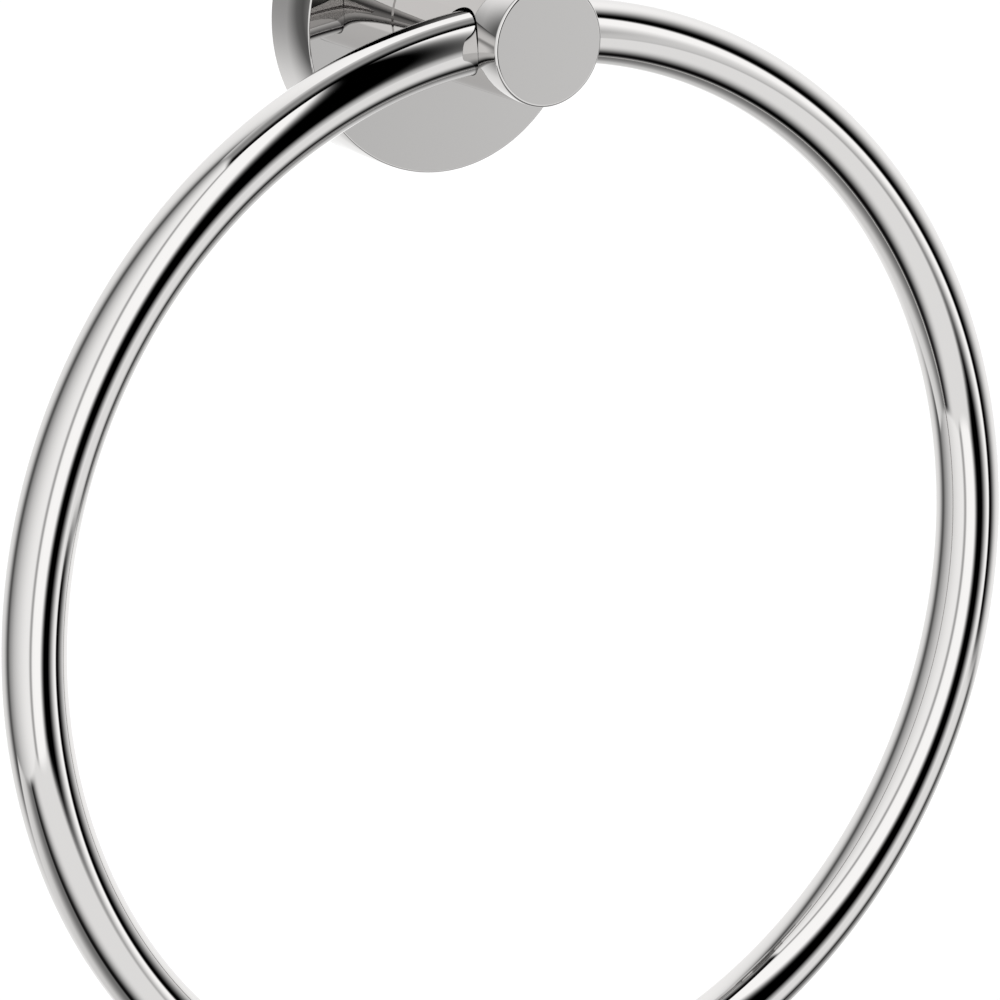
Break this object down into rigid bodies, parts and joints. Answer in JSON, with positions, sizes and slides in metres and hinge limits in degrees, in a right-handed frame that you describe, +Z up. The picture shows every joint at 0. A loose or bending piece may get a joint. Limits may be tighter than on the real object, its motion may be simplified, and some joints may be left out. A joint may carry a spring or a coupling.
{
  "type": "towel holder",
  "caption": "Wall-mounted towel ring: a round rosette over a hidden slotted bracket, a short cylindrical post, and a fixed round ring of bent tube through the post.",
  "frame": {"origin": "centre of the rosette's back, on the wall's plane", "axes": "+Y into the wall, -Y towards the room, +Z up, +X to the right as seen from the room"},
  "size_m": [0.183, 0.0392, 0.203],
  "materials": {
    "polished_chrome": "bright chrome plate on polished brass",
    "brass": "bare drawn brass",
    "blackened_steel": "black oxide",
    "zinc_plated_steel": "bright zinc plate",
    "ground_steel": "ground",
    "cast_zinc": "as cast, tumbled",
    "stainless_steel": "turned"
  },
  "bodies": {
    "root": {"rosette": "polished_chrome", "post": "polished_chrome", "ring": "polished_chrome", "ring_joiner": "brass", "ring_lock_screw": "blackened_steel", "post_screw": "zinc_plated_steel", "lock_washer": "zinc_plated_steel", "locating_pin": "ground_steel", "wall_bracket": "cast_zinc", "set_screw": "stainless_steel"}
  },
  "joints": []
}
